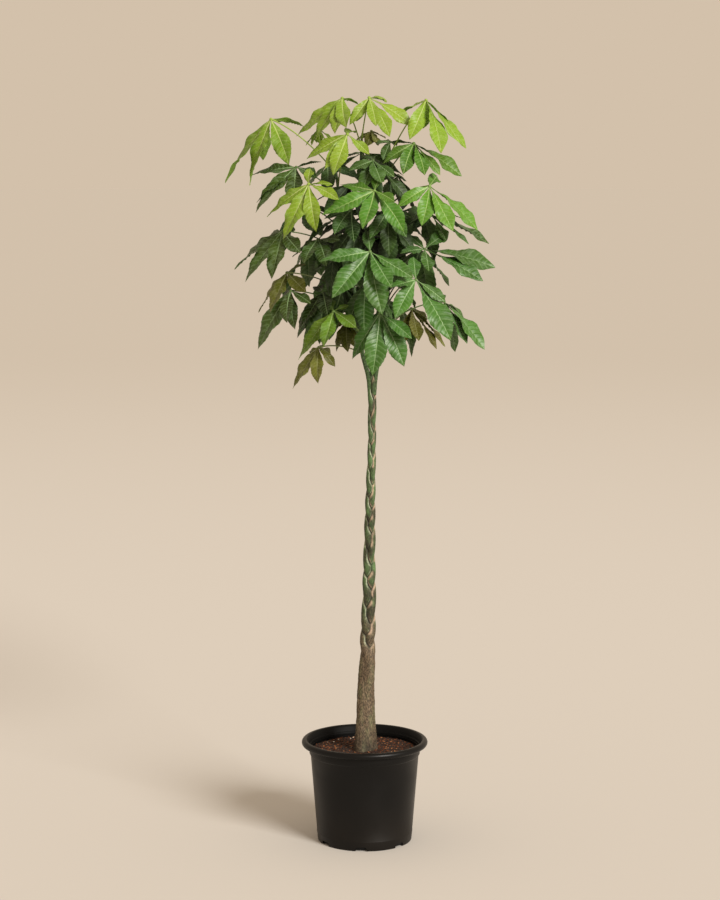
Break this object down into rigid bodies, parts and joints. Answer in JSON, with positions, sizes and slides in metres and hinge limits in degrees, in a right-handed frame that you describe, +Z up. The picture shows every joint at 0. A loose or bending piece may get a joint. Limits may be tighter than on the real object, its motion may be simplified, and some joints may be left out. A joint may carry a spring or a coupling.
{
  "type": "potted money tree",
  "caption": "Potted money tree, a tall decorative indoor plant: braided stems with a full crown of palmate leaves, in bark chips in a tapered nursery pot with a rolled rim.",
  "frame": {"origin": "centre of the pot's underside, on the surface it stands on", "axes": "+Z up along the pot, -Y towards the viewer, +X to the right"},
  "size_m": [0.5634, 0.4212, 1.586],
  "materials": {
    "pot": "satin black moulded plastic",
    "soil": "loose reddish brown bark chips",
    "bark": "grey green bark with pale seams",
    "leaf_young": "lime green young leaf, thin and slightly see-through",
    "leaf_fresh": "fresh green leaf with a soft sheen",
    "leaf_dark": "dark green leaf with a satin sheen, quilted between its veins",
    "leaf_olive": "olive green leaf"
  },
  "bodies": {
    "root": {"pot": "pot", "soil": "soil", "trunk": "bark", "leaf_dark_centre": "leaf_dark", "leaf_dark_lower_right": "leaf_dark", "leaf_fresh_centre": "leaf_fresh", "leaf_dark_lowest": "leaf_dark", "leaf_young_left": "leaf_young", "leaf_young_centre": "leaf_young", "leaf_fresh_right": "leaf_fresh", "leaf_bright_low": "leaf_fresh", "leaf_dark_right": "leaf_dark", "leaf_young_top_right": "leaf_young", "leaf_young_far_left": "leaf_young", "leaf_young_top": "leaf_young", "leaf_young_top_left": "leaf_young", "leaf_dark_left": "leaf_dark", "leaf_dark_far_right": "leaf_dark", "leaf_olive_lowest": "leaf_olive", "leaf_dark_low_left": "leaf_dark", "leaf_olive_left": "leaf_olive", "leaf_fresh_upper_right": "leaf_fresh", "leaf_dark_upper_left": "leaf_dark", "leaf_dark_inner_left": "leaf_dark", "leaf_dark_low_inner": "leaf_dark", "leaf_olive_low_right": "leaf_olive", "leaf_dark_upper_centre": "leaf_dark", "leaf_dark_mid_right": "leaf_dark", "leaf_dark_mid_centre": "leaf_dark", "leaf_grey_mid_left": "leaf_dark", "leaf_dark_top_right": "leaf_dark", "leaf_olive_top": "leaf_olive", "leaf_young_inner_left": "leaf_young", "leaf_olive_low_centre": "leaf_olive", "leaf_ring_1_1": "leaf_dark", "leaf_ring_1_2": "leaf_dark", "leaf_ring_1_3": "leaf_dark", "leaf_ring_1_4": "leaf_dark", "leaf_ring_1_5": "leaf_dark", "leaf_ring_2_1": "leaf_dark", "leaf_ring_2_2": "leaf_dark", "leaf_ring_2_3": "leaf_dark", "leaf_ring_2_4": "leaf_dark", "leaf_ring_2_5": "leaf_dark", "leaf_ring_3_1": "leaf_dark", "leaf_ring_3_2": "leaf_dark", "leaf_ring_3_3": "leaf_dark", "leaf_ring_3_4": "leaf_dark", "leaf_ring_4_1": "leaf_dark", "leaf_ring_4_2": "leaf_dark", "leaf_ring_4_3": "leaf_dark", "leaf_ring_5_1": "leaf_dark", "leaf_ring_5_2": "leaf_dark", "leaf_ring_5_3": "leaf_dark", "leaf_ring_6_1": "leaf_dark", "leaf_ring_6_2": "leaf_dark", "leaf_ring_6_3": "leaf_dark", "leaf_ring_7_1": "leaf_dark", "leaf_ring_7_2": "leaf_dark"}
  },
  "joints": []
}
